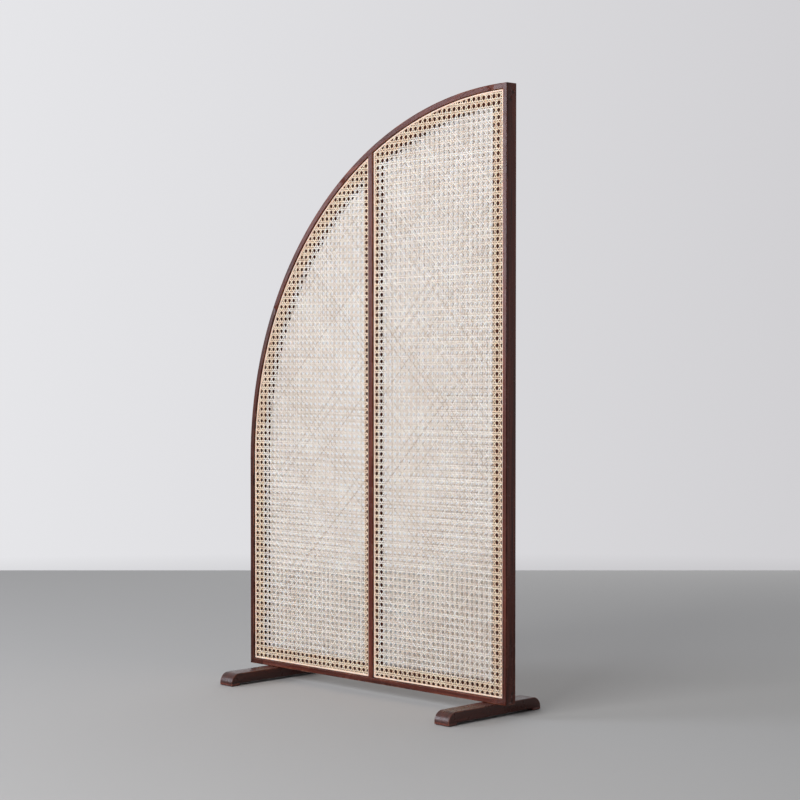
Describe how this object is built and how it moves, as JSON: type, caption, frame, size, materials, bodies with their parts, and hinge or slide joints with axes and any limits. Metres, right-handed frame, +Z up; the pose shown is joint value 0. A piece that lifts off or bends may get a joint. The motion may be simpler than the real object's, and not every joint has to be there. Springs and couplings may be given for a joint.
{
  "type": "rattan room divider",
  "caption": "Free-standing one-piece room divider: a quarter-arch wooden frame with an upright mullion, double octagonal cane webbing in both bays, and two cross feet",
  "frame": {"origin": "middle of the divider's bounding box at floor level, on the underside of the glides", "axes": "+X along the panel toward its tall straight edge, +Y from the front face toward the back, +Z up"},
  "size_m": [1.074, 0.378, 1.75],
  "materials": {
    "frame_wood": "dark brown satin stain over visible grain",
    "foot_wood": "dark brown satin stain over visible grain",
    "plug_wood": "dark stained end grain, satin",
    "tenon_wood": "bare sawn hardwood",
    "cane": "natural rattan cane, smooth skin, matt to satin",
    "reed": "natural rattan reed, matt",
    "steel": "zinc plated",
    "brass": "machined",
    "felt": "dense black felt"
  },
  "bodies": {
    "root": {"right_stile": "frame_wood", "left_stile": "frame_wood", "arch_lower": "frame_wood", "arch_middle": "frame_wood", "arch_upper": "frame_wood", "bottom_rail": "frame_wood", "mullion": "frame_wood", "arch_tenons": "tenon_wood", "mullion_tenons": "tenon_wood", "corner_screws": "steel", "corner_plugs": "plug_wood", "cane_front_left": "cane", "cane_front_right": "cane", "cane_back_left": "cane", "cane_back_right": "cane", "spline_front_left": "reed", "spline_front_right": "reed", "spline_back_left": "reed", "spline_back_right": "reed", "foot_left": "foot_wood", "foot_right": "foot_wood", "foot_pads": "foot_wood", "foot_glides": "felt", "foot_bolts": "steel", "bolt_inserts": "brass"}
  },
  "joints": []
}
